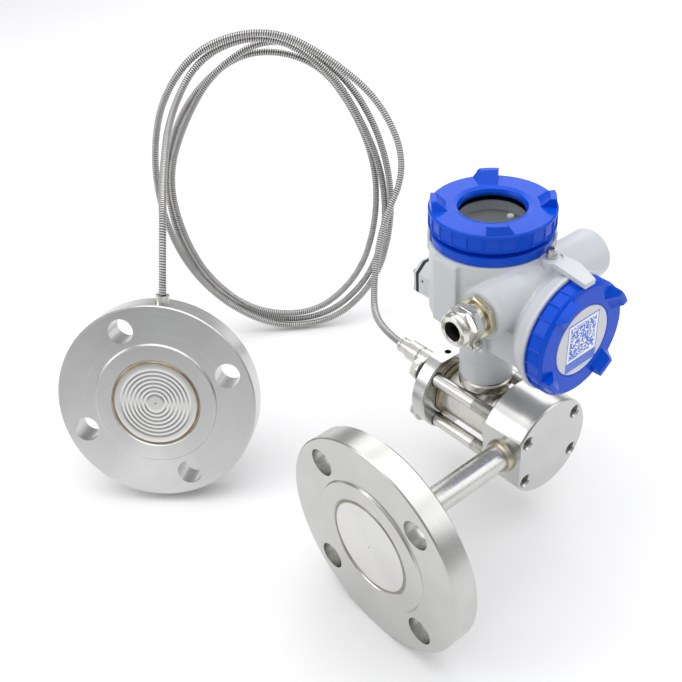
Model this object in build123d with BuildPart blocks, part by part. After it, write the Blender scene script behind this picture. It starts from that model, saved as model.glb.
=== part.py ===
from build123d import *
import math
import os

os.makedirs("parts", exist_ok=True)

# Remote seal level transmitter, millimetres.
# Origin: centre of the raised face of the direct flange.  +X leaves that face,
# +Y is the sensor axis toward the front process flange, +Z is up.
SX = -152.6          # sensor axis, x
NY = -44.9           # neck axis, y
TZ = 99.7            # terminal compartment axis, z


def zrev(pts, x=SX, y=NY, mode=Mode.ADD):
    f = Face(Wire.make_polygon([(x + r, y, z) for r, z in pts], close=True))
    revolve(f, axis=Axis((x, y, 0), (0, 0, 1)), mode=mode)


def yrev(pts, x=SX, z=0.0, mode=Mode.ADD):
    f = Face(Wire.make_polygon([(x + r, y, z) for r, y in pts], close=True))
    revolve(f, axis=Axis((x, 0, z), (0, 1, 0)), mode=mode)


def xrev(pts, y=0.0, z=0.0, mode=Mode.ADD):
    f = Face(Wire.make_polygon([(x, y + r, z) for r, x in pts], close=True))
    revolve(f, axis=Axis((0, y, z), (1, 0, 0)), mode=mode)


def xcyl(r, x0, x1, y, z, mode=Mode.ADD):
    with Locations(Location(((x0 + x1) / 2, y, z), (0, 90, 0))):
        Cylinder(r, abs(x1 - x0), mode=mode)


def ycyl(r, y0, y1, x=SX, z=0.0, mode=Mode.ADD):
    with Locations(Location((x, (y0 + y1) / 2, z), (90, 0, 0))):
        Cylinder(r, abs(y1 - y0), mode=mode)


def zcyl(r, z0, z1, x=SX, y=NY, mode=Mode.ADD):
    with Locations(Location((x, y, (z0 + z1) / 2))):
        Cylinder(r, abs(z1 - z0), mode=mode)


def box(x0, x1, y0, y1, z0, z1, mode=Mode.ADD):
    with Locations(Location(((x0 + x1) / 2, (y0 + y1) / 2, (z0 + z1) / 2))):
        Box(x1 - x0, y1 - y0, z1 - z0, mode=mode)


def hexprism(kind, af, a, b, u, v, spin=0.0, mode=Mode.ADD):
    # hexagonal prism, across flats af, along x, y or z from a to b
    r = af / math.sqrt(3)
    pts = []
    for k in range(6):
        t = math.radians(spin + 60 * k)
        p, q = u + r * math.cos(t), v + r * math.sin(t)
        pts.append({"x": (a, p, q), "y": (p, a, q), "z": (p, q, a)}[kind])
    f = Face(Wire.make_polygon(pts, close=True))
    d = {"x": (b - a, 0, 0), "y": (0, b - a, 0), "z": (0, 0, b - a)}[kind]
    add(Solid.extrude(f, Vector(*d)), mode=mode)


def save(b, name):
    b.part.label = name
    export_step(b.part, "parts/" + name + ".step")


# ---------------------------------------------------------------- direct seal
# 2 in class 150 flange: 152.4 across, four 19.05 holes on 120.65
with BuildPart() as direct_seal_flange:
    xrev([(0, -18.9), (75.2, -18.9), (76.2, -17.9), (76.2, -2.6), (75.2, -1.6),
          (46.05, -1.6), (46.05, 0), (32.2, 0), (32.2, -1.0), (28.0, -1.0),
          (28.0, -1.6), (0, -1.6)])
    for k in range(4):
        a = math.radians(46.6 + 90 * k)
        xcyl(9.525, -20, 1, 60.325 * math.cos(a), 60.325 * math.sin(a), Mode.SUBTRACT)
    xcyl(2.0, -20, 1, 0, 0, Mode.SUBTRACT)
save(direct_seal_flange, "direct_seal_flange")


def diaphragm_profile(r_out, x_face, thick):
    # flat welded rim, seven corrugations, flat centre
    top = [(0.0, x_face)]
    n = 7
    r0, r1 = 7.0, r_out - 4.4
    top.append((r0, x_face))
    for i in range(1, 2 * n):
        r = r0 + (r1 - r0) * i / (2 * n)
        top.append((r, x_face - (0.42 if i % 2 else 0.0)))
    top.append((r1, x_face))
    top.append((r_out, x_face))
    low = [(r, x - thick) for r, x in reversed(top)]
    return top + low


with BuildPart() as direct_diaphragm:
    xrev(diaphragm_profile(32.15, -0.6, 0.4))
save(direct_diaphragm, "direct_diaphragm")

# ---------------------------------------------------------------- sensor end
with BuildPart() as extension_tube:
    xrev([(2.0, -121.6), (9.5, -121.6), (9.5, -18.9), (2.0, -18.9)])
save(extension_tube, "extension_tube")

with BuildPart() as tube_weld_collar:
    xrev([(9.5, -121.6), (12.2, -121.6), (11.6, -119.2), (10.6, -117.6), (9.5, -117.6)])
save(tube_weld_collar, "tube_weld_collar")

with BuildPart() as flange_weld_bead:
    xrev([(9.5, -18.9), (11.6, -18.9), (10.9, -20.2), (9.5, -21.2)])
save(flange_weld_bead, "flange_weld_bead")

HOLE_F = [(24.1 * i, 17.4 * j) for i in (-1, 1) for j in (-1, 1)]
HOLE_B = [(20.9 * i, 18.8 * j) for i in (-1, 1) for j in (-1, 1)]

with BuildPart() as front_process_flange:
    yrev([(0, -17.1), (35.4, -17.1), (36.6, -15.9), (36.6, 15.3), (35.0, 16.9), (0, 16.9)])
    box(-121.6, -100, -30, 30, -50, 50, Mode.SUBTRACT)
    for hx, hz in HOLE_F:
        ycyl(4.25, 1.9, 18, SX + hx, hz, Mode.SUBTRACT)
    for hx, hz in HOLE_B:
        ycyl(5.0, -18, -1.1, SX + hx, hz, Mode.SUBTRACT)
    # pressure chamber toward the capsule and the fill bore from the tube
    ycyl(15.0, -18, -15.1, mode=Mode.SUBTRACT)
    ycyl(2.0, -16, -4.0, mode=Mode.SUBTRACT)
    xcyl(2.0, SX, -120, 0, 0, Mode.SUBTRACT)
    ycyl(2.0, -5, 2.0, mode=Mode.SUBTRACT)
save(front_process_flange, "front_process_flange")

with BuildPart() as rear_process_flange:
    yrev([(0, -86.5), (33.4, -86.5), (34.8, -85.1), (34.8, -74.1), (33.8, -73.1), (0, -73.1)])
    for hx, hz in HOLE_B:
        ycyl(5.5, -88, -72, SX + hx, hz, Mode.SUBTRACT)
    ycyl(15.0, -75.1, -72, mode=Mode.SUBTRACT)
    ycyl(2.0, -88, -72, z=8.0, mode=Mode.SUBTRACT)
    # flat on the top with a vertical tapped hole
    box(SX - 40.0, SX + 40.0, -90.0, -70.0, 31.0, 40.0, Mode.SUBTRACT)
    zcyl(2.5, 16.0, 32.0, SX + 3.0, -79.8, Mode.SUBTRACT)
save(rear_process_flange, "rear_process_flange")

with BuildPart() as sensor_capsule:
    yrev([(0, -71.1), (14.0, -71.1), (14.0, -73.1), (20.0, -73.1), (20.0, -17.1),
          (14.0, -17.1), (14.0, -19.1), (0, -19.1)])
    # cell chamber and cable bore up to the neck
    ycyl(9.0, -54.9, -34.9, mode=Mode.SUBTRACT)
    zcyl(5.0, 0, 24, mode=Mode.SUBTRACT)
    zcyl(15.2, 10.0, 24.0)
    zcyl(5.0, 0, 25, mode=Mode.SUBTRACT)
save(sensor_capsule, "sensor_capsule")

with BuildPart() as sensor_cell:
    ycyl(8.7, -54.4, -35.4)
save(sensor_cell, "sensor_cell")

with BuildPart() as isolating_diaphragm_front:
    ycyl(13.9, -19.1, -18.9)
save(isolating_diaphragm_front, "isolating_diaphragm_front")

with BuildPart() as isolating_diaphragm_rear:
    ycyl(13.9, -71.3, -71.1)
save(isolating_diaphragm_rear, "isolating_diaphragm_rear")

with BuildPart() as capsule_ring_front:
    yrev([(20.0, -27.6), (21.4, -27.3), (22.3, -26.4), (22.3, -22.6), (21.4, -21.5), (20.0, -21.2)])
save(capsule_ring_front, "capsule_ring_front")

with BuildPart() as capsule_weld_front:
    yrev([(20.0, -21.2), (20.9, -20.7), (20.9, -17.6), (20.0, -17.1)])
save(capsule_weld_front, "capsule_weld_front")

with BuildPart() as capsule_weld_rear:
    yrev([(20.0, -73.1), (22.4, -72.6), (22.4, -69.6), (20.0, -68.4)])
save(capsule_weld_rear, "capsule_weld_rear")

with BuildPart() as flange_bolts:
    for hx, hz in HOLE_B:
        ycyl(5.0, -88.0, -2.1, SX + hx, hz)
        hexprism("y", 16.0, -93.6, -88.0, SX + hx, hz, 30.0)
save(flange_bolts, "flange_bolts")

with BuildPart() as flange_bolt_washers:
    for hx, hz in HOLE_B:
        yrev([(5.1, -88.0), (9.0, -88.0), (9.0, -86.5), (5.1, -86.5)], SX + hx, hz)
save(flange_bolt_washers, "flange_bolt_washers")

with BuildPart() as capillary_fitting:
    yrev([(0, -86.5), (10.2, -86.5), (10.2, -89.0), (8.1, -90.4), (8.1, -107.0), (7.2, -108.0),
          (7.2, -109.6), (8.1, -110.6), (8.1, -122.5), (7.1, -123.5), (0, -123.5)], z=8.0)
    ycyl(1.2, -124, -86, z=8.0, mode=Mode.SUBTRACT)
    # relief round the nearest washers
    for hx, hz in HOLE_B:
        ycyl(9.2, -94.0, -86.4, SX + hx, hz, Mode.SUBTRACT)
save(capillary_fitting, "capillary_fitting")

with BuildPart() as capillary_ferrule:
    yrev([(1.2, -123.5), (6.2, -123.5), (6.2, -128.5), (5.6, -129.2), (5.6, -130.4), (6.2, -131.0),
          (6.2, -132.7), (5.4, -133.5), (1.2, -133.5)], z=8.0)
save(capillary_ferrule, "capillary_ferrule")

# ---------------------------------------------------------------- capillary hose
# route of the hose centreline: ferrule, coil, remote flange
LEAD_PTS = [(-152.60, -133.50, 8.00), (-152.60, -157.50, 10.00), (-176.00, -196.00, 5.00),
    (-208.75, -220.04, 54.34), (-242.41, -220.41, 98.55), (-239.30, -245.39, 148.82), (-212.96,
    -275.72, 186.19), (-179.05, -308.05, 213.71)]
TAIL_PTS = [(-182.05, -316.49, 207.72), (-134.85, -347.17, 195.98), (-92.34, -337.70, 159.73),
    (-54.48, -292.04, 138.25), (-19.12, -237.56, 127.26), (-5.78, -231.78, 77.28)]


def corner_radii(pts):
    out = []
    for a, b, c in zip(pts, pts[1:], pts[2:]):
        u, v = Vector(*b) - Vector(*a), Vector(*c) - Vector(*b)
        half = math.radians(u.get_angle(v)) / 2
        out.append(min(0.45 * min(u.length, v.length) / math.tan(half), 400.0))
    return out


def hose(pts):
    rr = corner_radii(pts)
    print("corner radii", [round(r, 1) for r in rr])
    with BuildLine() as path:
        FilletPolyline(*pts, radius=rr)
    with BuildPart() as tube:
        with BuildSketch(Plane(origin=path.line @ 0, z_dir=path.line % 0)):
            Circle(3.1)
        sweep(path=path.line)
    return tube.part


with BuildPart() as capillary_lead:
    add(hose(LEAD_PTS))
save(capillary_lead, "capillary_lead")

with BuildPart() as capillary_tail:
    add(hose(TAIL_PTS))
save(capillary_tail, "capillary_tail")

# the coiled turns as one closed ring, standing on its lower edge
COIL_OUT = [(-110.9, -0.0), (-109.1, -29.2), (-103.7, -59.9), (-92.2, -92.2), (-69.7, -120.8),
    (-37.9, -141.3), (0.0, -149.9), (38.6, -144.2), (71.1, -123.1), (91.6, -91.6), (99.6,
    -57.5), (101.5, -27.2), (103.8, 0.0), (102.6, 27.5), (97.1, 56.0), (83.2, 83.2), (62.2,
    107.6), (34.7, 129.3), (0.0, 138.8), (-36.1, 134.6), (-69.1, 119.7), (-93.1, 93.1), (-105.6,
    60.9), (-111.5, 29.9)]
COIL_IN = [(-93.8, -0.0), (-92.3, -24.7), (-86.9, -50.1), (-76.2, -76.2), (-58.7, -101.8),
    (-32.7, -122.0), (0.0, -131.6), (31.5, -117.6), (54.4, -94.1), (67.2, -67.2), (74.9, -43.2),
    (78.0, -20.9), (78.5, 0.0), (75.5, 20.2), (68.7, 39.6), (58.9, 58.9), (46.2, 79.9), (26.4,
    98.5), (0.0, 108.7), (-27.9, 104.2), (-50.3, 87.1), (-67.2, 67.2), (-80.7, 46.6), (-90.0,
    24.1)]
COIL = Plane(origin=(-177.63, -313.37, 74.78), x_dir=(-0.78801, 0.61566, 0.0), z_dir=(0.61482, 0.78693, 0.05234))
with BuildPart() as capillary_coil:
    with BuildSketch(COIL.offset(-13.0)):
        with BuildLine():
            Spline(*COIL_OUT, periodic=True)
        make_face()
        with BuildLine(mode=Mode.PRIVATE) as inner:
            Spline(*COIL_IN, periodic=True)
        add(make_face(inner.edges(), mode=Mode.PRIVATE), mode=Mode.SUBTRACT)
    extrude(amount=26.0)
save(capillary_coil, "capillary_coil")

# ---------------------------------------------------------------- remote seal
# leans on its back rim; local x is the face normal
RN = Vector(0.664145, 0.675148, 0.321070)
RU = Vector(-0.225158, -0.228888, 0.947055)
REMOTE = Plane(origin=(27.300, -211.600, 3.800), x_dir=RN, z_dir=RU).location

with BuildPart() as rsf:
    xrev([(0, -24.0), (75.2, -24.0), (76.2, -23.0), (76.2, -2.6), (75.2, -1.6), (46.05, -1.6),
          (46.05, 0), (32.2, 0), (32.2, -1.0), (28.0, -1.0), (28.0, -1.6), (0, -1.6)])
    for k in range(4):
        a = math.radians(21.3 + 90 * k)
        xcyl(9.525, -25, 1, 60.325 * math.cos(a), 60.325 * math.sin(a), Mode.SUBTRACT)
with BuildPart() as remote_seal_flange:
    add(rsf.part.moved(REMOTE))
save(remote_seal_flange, "remote_seal_flange")

with BuildPart() as rsd:
    xrev(diaphragm_profile(32.15, -0.6, 0.4))
with BuildPart() as remote_diaphragm:
    add(rsd.part.moved(REMOTE))
save(remote_diaphragm, "remote_diaphragm")

# spigot on the rim where the hose goes in
SPIGOT = Plane(origin=(-3.764, -230.808, 71.072), z_dir=(-0.305473, -0.146908, 0.940800)).location
with BuildPart() as rsp:
    Cylinder(5.2, 6.5, align=(Align.CENTER, Align.CENTER, Align.MIN))
    Cylinder(3.12, 8.0, align=(Align.CENTER, Align.CENTER, Align.MIN), mode=Mode.SUBTRACT)
with BuildPart() as remote_spigot:
    add(rsp.part.moved(SPIGOT))
    add(remote_seal_flange.part, mode=Mode.SUBTRACT)
save(remote_spigot, "remote_spigot")


# ---------------------------------------------------------------- housing
with BuildPart() as neck_ring:
    zrev([(5.0, 24.0), (18.3, 24.0), (18.9, 24.8), (18.9, 30.2), (17.6, 31.2), (17.6, 32.7),
          (5.0, 32.7)])
    zcyl(13.95, 32.7, 48.0)
    zcyl(11.5, 24.6, 49.0, mode=Mode.SUBTRACT)
    zcyl(5.0, 23.0, 26.0, mode=Mode.SUBTRACT)
save(neck_ring, "neck_ring")

with BuildPart() as housing_casting:
    # neck and display compartment
    zrev([(0, 33.0), (19.0, 33.0), (19.0, 50.0), (17.3, 51.5), (17.3, 90.0), (0, 90.0)])
    zrev([(0, 88.0), (38.2, 88.0), (40.2, 90.0), (40.2, 142.3), (0, 142.3)])
    # centre body and the steep flare of the terminal compartment with its rim ring
    box(SX - 26.0, SX + 26.0, -45.0, 13.0, 72.0, 100.0)
    yrev([(0, -60.0), (24.0, -60.0), (24.0, -3.0), (37.5, 10.5), (39.6, 15.5), (39.8, 17.2), (41.0, 17.4),
          (41.0, 20.1), (40.4, 20.6), (0, 20.6)], z=TZ)
    # cable entry bosses
    xrev([(0, SX), (17.8, SX), (16.8, -114.6), (0, -114.6)], -17.5, 112.0)
    xrev([(0, -222.1), (16.8, -222.1), (17.6, -221.1), (17.8, SX), (0, SX)], -17.5, 112.0)
    # saddle that rises from the gland boss to the ledge of the lock screw
    rings = [Wire.make_circle(r, Plane((SX + x, y, z), x_dir=(0, 1, 0), z_dir=(1, 0, 0))) for x, y, z, r in
             ((-26.0, -12.0, 114.0, 18.0), (-12.0, -10.0, 121.5, 18.5), (19.0, -10.0, 122.0, 18.5),
              (29.5, -13.5, 118.0, 17.3), (34.0, -15.5, 115.0, 17.1), (37.9, -17.5, 112.0, 16.4))]
    add(Solid.make_loft(rings, ruled=True))
    # side port boss at the back with cut corners, raised pad at the side
    port = [(13.3, 79.0), (13.3, 94.5), (6.0, 101.0), (-6.0, 101.0), (-13.3, 94.5), (-13.3, 79.0),
            (-6.0, 72.0), (6.0, 72.0)]
    pf = Face(Wire.make_polygon([(SX + u, -100.0, w) for u, w in port], close=True))
    add(Solid.extrude(pf, Vector(0, 45.0, 0)))
    box(SX + 25.0, SX + 42.0, -56.5, -35.5, 92.0, 141.0)
    # rim ears
    for a in (-45.0, 135.0):
        e = Solid.make_box(1.5, 13.0, 9.0, Plane((39.7, -6.5, 139.0)))
        e = e.rotate(Axis.Z, a).translate(Vector(SX, NY, 0))
        add(e)
    # locking arm above the terminal cover, its web, and the ledge of the lock screw
    arm = [(-12.0, -4.0), (-12.0, 17.0), (-4.2, 34.7), (5.4, 34.7), (0.5, 8.0), (0.5, -4.0)]
    af = Face(Wire.make_polygon([(SX + u, w, 140.4) for u, w in arm], close=True))
    add(Solid.extrude(af, Vector(0, 0, 3.6)))
    box(SX - 10.0, SX - 1.0, -8.0, 20.3, 134.0, 141.5)
    zcyl(7.0, 134.5, 143.2, SX - 4.9, 0.5)
    # ground lug
    box(SX + 16.0, SX + 29.5, -31.0, -21.5, 73.0, 87.0)
    # hollows
    zcyl(36.3, 126.0, 143.0, mode=Mode.SUBTRACT)
    yrev([(0, -4.0), (19.5, -4.0), (32.5, 9.0), (34.3, 11.2), (34.3, 21.0), (0, 21.0)], z=TZ, mode=Mode.SUBTRACT)
    ycyl(20.0, -38.0, -8.0, z=TZ, mode=Mode.SUBTRACT)
    box(SX - 8.0, SX + 8.0, -9.0, -3.0, TZ + 9.0, TZ + 16.0, Mode.SUBTRACT)
    for i in (-1, 1):
        ycyl(1.6, -9.0, -3.0, SX + 5.5 * i, TZ - 6.5, Mode.SUBTRACT)
    zcyl(14.0, 32.0, 52.0, mode=Mode.SUBTRACT)
    zcyl(9.0, 50.0, 127.0, mode=Mode.SUBTRACT)
    # cable entries, M20
    xcyl(17.6, -114.6, -100.0, -17.5, 112.0, Mode.SUBTRACT)
    xcyl(10.0, -138.0, -113.0, -17.5, 112.0, Mode.SUBTRACT)
    xcyl(10.0, -223.0, -166.0, -17.5, 112.0, Mode.SUBTRACT)
    # side port room and the small vent in its side
    box(SX - 8.0, SX + 8.0, -101.0, -86.0, 77.0, 96.0, Mode.SUBTRACT)
    xcyl(1.25, SX + 4.0, SX + 15.0, -95.5, 90.0, Mode.SUBTRACT)
    # clearance round the cover, screw holes
    zcyl(39.6, 142.3, 150.0, mode=Mode.SUBTRACT)
    zcyl(7.2, 143.2, 146.0, SX - 4.9, 0.5, Mode.SUBTRACT)
    zcyl(2.05, 136.0, 144.0, SX - 5.5, 0.0, Mode.SUBTRACT)
    xcyl(2.05, SX + 18.0, SX + 30.0, -26.5, 80.8, Mode.SUBTRACT)
save(housing_casting, "housing_casting")

PORT = [(13.3, 79.0), (13.3, 94.5), (6.0, 101.0), (-6.0, 101.0), (-13.3, 94.5), (-13.3, 79.0), (-6.0, 72.0), (6.0, 72.0)]
PORT_SCREWS = ((-10.9, 79.5), (10.9, 79.5), (-10.9, 93.5), (10.9, 93.5))

with BuildPart() as side_port_gasket:
    gf = Face(Wire.make_polygon([(SX + u, -102.2, w) for u, w in PORT], close=True))
    add(Solid.extrude(gf, Vector(0, 2.2, 0)))
    box(SX - 8.0, SX + 8.0, -103.0, -99.0, 77.0, 96.0, Mode.SUBTRACT)
    for px, pz in PORT_SCREWS:
        ycyl(1.3, -103, -99, SX + px, pz, Mode.SUBTRACT)
save(side_port_gasket, "side_port_gasket")

with BuildPart() as side_port_plate:
    gf = Face(Wire.make_polygon([(SX + u, -104.3, w) for u, w in PORT], close=True))
    add(Solid.extrude(gf, Vector(0, 2.1, 0)))
    for px, pz in PORT_SCREWS:
        ycyl(1.3, -105, -101, SX + px, pz, Mode.SUBTRACT)
save(side_port_plate, "side_port_plate")

with BuildPart() as side_port_screws:
    for px, pz in PORT_SCREWS:
        yrev([(0, -105.9), (1.3, -105.9), (1.9, -105.3), (1.9, -104.3), (1.25, -104.3),
              (1.25, -100.0), (0, -100.0)], SX + px, pz)
        box(SX + px - 1.4, SX + px + 1.4, -106.2, -105.4, pz - 0.25, pz + 0.25, Mode.SUBTRACT)
save(side_port_screws, "side_port_screws")

with BuildPart() as cover_lock_screw:
    zrev([(0, 136.6), (2.0, 136.6), (2.0, 143.2), (3.4, 143.2), (3.4, 148.9), (3.0, 149.5),
          (0, 149.5)], SX - 5.5, 0.0)
    hexprism("z", 3.0, 146.3, 150.0, SX - 5.5, 0.0, 0.0, Mode.SUBTRACT)
save(cover_lock_screw, "cover_lock_screw")

with BuildPart() as ground_washer:
    box(SX + 29.5, SX + 30.7, -31.0, -22.0, 76.3, 85.3)
    xcyl(2.1, SX + 29.0, SX + 32.0, -26.5, 80.8, Mode.SUBTRACT)
save(ground_washer, "ground_washer")

with BuildPart() as ground_screw:
    xrev([(0, SX + 20.0), (2.0, SX + 20.0), (2.0, SX + 30.7), (4.0, SX + 30.7), (4.0, SX + 33.0),
          (3.2, SX + 34.5), (0, SX + 34.5)], -26.5, 80.8)
    box(SX + 33.2, SX + 36.0, -29.3, -23.7, 80.35, 81.25, Mode.SUBTRACT)
    box(SX + 33.2, SX + 36.0, -26.95, -26.05, 78.0, 83.6, Mode.SUBTRACT)
save(ground_screw, "ground_screw")

# ---------------------------------------------------------------- electronics
with BuildPart() as electronics_can:
    zrev([(9.0, 126.0), (31.5, 126.0), (31.5, 142.0), (0, 142.0), (0, 140.5), (29.5, 140.5),
          (29.5, 127.5), (9.0, 127.5)])
save(electronics_can, "electronics_can")

with BuildPart() as electronics_board:
    zcyl(29.5, 132.0, 133.6)
    box(SX - 12.0, SX + 12.0, NY - 9.0, NY + 9.0, 133.6, 137.0)
    box(SX - 20.0, SX - 14.0, NY - 14.0, NY + 14.0, 129.0, 132.0)
save(electronics_board, "electronics_board")

with BuildPart() as display_module:
    zcyl(31.0, 142.0, 146.0)
    box(SX - 16.0, SX + 16.0, NY - 10.0, NY + 10.0, 143.6, 147.0, Mode.SUBTRACT)
save(display_module, "display_module")

with BuildPart() as display_panel:
    box(SX - 16.0, SX + 16.0, NY - 10.0, NY + 10.0, 143.6, 145.9)
save(display_panel, "display_panel")

with BuildPart() as display_fixing_caps:
    for py in (-1.8, 7.7):
        zcyl(2.3, 146.0, 147.4, SX - 17.2 - 2.5, NY + py)
save(display_fixing_caps, "display_fixing_caps")

# ---------------------------------------------------------------- display cover
with BuildPart() as display_cover_seal:
    zrev([(36.7, 142.8), (37.5, 142.8), (37.8, 143.2), (37.8, 144.2), (37.5, 144.6), (36.7, 144.6),
          (36.4, 144.2), (36.4, 143.2)])
save(display_cover_seal, "display_cover_seal")

with BuildPart() as display_cover:
    zrev([(33.2, 132.6), (36.25, 132.6), (36.25, 142.2), (36.1, 142.4), (36.1, 144.9), (38.1, 144.9),
          (38.1, 142.7), (39.2, 142.7), (39.4, 142.9), (39.4, 148.6), (39.0, 149.0), (35.2, 149.0),
          (35.2, 153.0), (40.4, 153.0), (40.9, 153.5), (40.9, 164.7), (40.2, 165.4), (23.4, 165.4),
          (21.4, 163.2), (21.4, 160.8), (33.2, 160.8)])
    # panels between the grip ribs
    for k in range(24):
        t = math.radians(15 * k + 12.5)
        zcyl(14.0, 154.0, 163.6, SX + 53.9 * math.cos(t), NY + 53.9 * math.sin(t), Mode.SUBTRACT)
    for a in (50.0, 140.0, -130.0, -40.0):
        # wedge lug: one upright end, one ramp
        f = Face(Wire.make_polygon([(28.6, -9.0, 165.0), (28.6, 9.0, 165.0), (28.6, 4.5, 171.2),
                                    (28.6, -9.0, 171.2)], close=True))
        s = Solid.extrude(f, Vector(10.2, 0, 0))
        g = Face(Wire.make_polygon([(28.5, -10.0, 165.2), (35.6, -10.0, 171.3), (28.5, -10.0, 171.3)], close=True))
        s = (s - Solid.extrude(g, Vector(0, 20.0, 0))).rotate(Axis.Z, a).translate(Vector(SX, NY, 0))
        add(s)
save(display_cover, "display_cover")

with BuildPart() as window_gasket:
    zrev([(21.7, 160.0), (28.0, 160.0), (28.0, 160.8), (21.7, 160.8)])
save(window_gasket, "window_gasket")

with BuildPart() as window_glass:
    zcyl(28.0, 155.0, 160.0)
save(window_glass, "window_glass")

with BuildPart() as window_ring:
    zrev([(22.0, 147.9), (23.4, 147.9), (23.4, 152.6), (33.15, 152.6), (33.15, 156.0), (28.1, 156.0),
          (28.1, 155.0), (22.0, 155.0)])
save(window_ring, "window_ring")

# ---------------------------------------------------------------- terminal side
with BuildPart() as terminal_block:
    box(SX - 17.0, SX + 17.0, -4.0, 5.5, TZ - 9.0, TZ + 7.0)
    for i in (-1, 0, 1):
        box(SX + 11 * i - 4.0, SX + 11 * i + 4.0, 2.5, 6.0, TZ - 3.5, TZ + 6.0, Mode.SUBTRACT)
    for i in (-1, 1):
        ycyl(1.6, -5.0, 6.0, SX + 5.5 * i, TZ - 6.5, Mode.SUBTRACT)
save(terminal_block, "terminal_block")

with BuildPart() as terminal_screws:
    for i in (-1, 0, 1):
        yrev([(0, 2.5), (3.0, 2.5), (3.0, 4.4), (2.5, 4.9), (0, 4.9)], SX + 11 * i, TZ + 1.0)
        box(SX + 11 * i - 3.5, SX + 11 * i + 3.5, 4.1, 5.2, TZ + 0.6, TZ + 1.4, Mode.SUBTRACT)
save(terminal_screws, "terminal_screws")

with BuildPart() as terminal_block_screws:
    for i in (-1, 1):
        yrev([(0, -7.8), (1.5, -7.8), (1.5, 5.5), (2.4, 5.5), (2.4, 6.5), (1.9, 7.0), (0, 7.0)],
             SX + 5.5 * i, TZ - 6.5)
save(terminal_block_screws, "terminal_block_screws")

with BuildPart() as terminal_cover_seal:
    yrev([(34.9, 21.1), (36.3, 21.1), (36.9, 21.8), (36.3, 22.5), (34.9, 22.5), (34.4, 21.8)], z=TZ)
save(terminal_cover_seal, "terminal_cover_seal")

with BuildPart() as terminal_cover:
    yrev([(31.0, 11.5), (34.25, 11.5), (34.25, 20.6), (34.1, 20.9), (34.1, 22.8), (37.2, 22.8),
          (37.2, 20.9), (39.2, 20.9), (39.7, 21.4), (39.7, 31.0), (37.7, 33.0), (25.0, 33.0),
          (25.0, 32.5), (0, 32.5), (0, 27.5), (31.0, 27.5)], z=TZ)
    for a in (143.0, -129.0, -33.0, 55.0):
        f = Face(Wire.make_polygon([(29.5, 32.4, -8.5), (29.5, 32.4, 8.5), (29.5, 38.6, 8.5),
                                    (29.5, 39.2, -1.0)], close=True))
        s = Solid.extrude(f, Vector(8.0, 0, 0)).rotate(Axis.Y, -a).translate(Vector(SX, 0, TZ))
        add(s)
save(terminal_cover, "terminal_cover")

with BuildPart() as label_disc:
    ycyl(24.0, 32.5, 33.1, z=TZ)
save(label_disc, "label_disc")

# ---------------------------------------------------------------- cable entries
GY, GZ = -17.5, 112.0
with BuildPart() as gland_locknut:
    hexprism("x", 26.0, -114.6, -110.4, GY, GZ, 15.0)
    xcyl(9.9, -116, -108, GY, GZ, Mode.SUBTRACT)
save(gland_locknut, "gland_locknut")

with BuildPart() as gland_body:
    xcyl(9.9, -127.0, -105.0, GY, GZ)
    hexprism("x", 24.0, -105.0, -100.0, GY, GZ, 5.0)
    xcyl(9.7, -100.0, -95.2, GY, GZ)
    xcyl(6.5, -128, -94, GY, GZ, Mode.SUBTRACT)
save(gland_body, "gland_body")

with BuildPart() as gland_seal:
    xrev([(6.5, -94.9), (9.3, -94.9), (9.3, -92.4), (8.2, -91.0), (6.5, -91.0)], GY, GZ)
save(gland_seal, "gland_seal")

with BuildPart() as gland_nut:
    hexprism("x", 23.0, -99.6, -95.0, GY, GZ, 20.0)
    xcyl(10.6, -95.0, -94.0, GY, GZ)
    xrev([(0, -94.0), (10.9, -94.0), (11.5, -93.2), (11.5, -91.6), (10.2, -90.0), (8.4, -89.1), (0, -89.1)], GY, GZ)
    xcyl(9.75, -101, -92.4, GY, GZ, Mode.SUBTRACT)
    xrev([(0, -92.4), (9.75, -92.4), (8.5, -90.7), (0, -90.7)], GY, GZ, Mode.SUBTRACT)
    xcyl(6.5, -93, -88, GY, GZ, Mode.SUBTRACT)
save(gland_nut, "gland_nut")

with BuildPart() as blind_plug:
    xrev([(0, -210.0), (9.95, -210.0), (9.95, -222.1), (13.4, -222.1), (13.4, -224.6), (12.6, -225.4),
          (0, -225.4)], GY, GZ)
    hexprism("x", 10.0, -226.0, -216.0, GY, GZ, 0.0, Mode.SUBTRACT)
save(blind_plug, "blind_plug")
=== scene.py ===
import bpy
import bmesh
import math
from mathutils import Matrix, Vector


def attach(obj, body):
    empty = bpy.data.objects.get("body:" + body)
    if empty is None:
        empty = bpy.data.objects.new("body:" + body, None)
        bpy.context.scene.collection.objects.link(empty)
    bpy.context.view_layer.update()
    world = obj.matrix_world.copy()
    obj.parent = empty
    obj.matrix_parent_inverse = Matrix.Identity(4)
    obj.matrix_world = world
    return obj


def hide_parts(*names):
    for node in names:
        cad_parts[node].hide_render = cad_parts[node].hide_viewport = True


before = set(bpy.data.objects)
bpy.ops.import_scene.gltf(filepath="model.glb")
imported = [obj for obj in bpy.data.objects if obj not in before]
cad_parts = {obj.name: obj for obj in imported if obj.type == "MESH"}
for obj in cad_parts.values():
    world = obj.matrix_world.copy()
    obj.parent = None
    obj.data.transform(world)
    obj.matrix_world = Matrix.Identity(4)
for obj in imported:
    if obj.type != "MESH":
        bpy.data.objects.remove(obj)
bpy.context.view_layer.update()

# The same numbers as the CAD, in millimetres.
SX, NY, TZ = -152.6, -44.9, 99.7
GY, GZ = -17.5, 112.0
FLOOR = -0.0762
RN = Vector((0.664, 0.675, 0.321)).normalized()
RU = (Vector((0, 0, 1)) - RN * RN.z).normalized()
RC = Vector((27.3, -211.6, 3.8))


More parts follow.
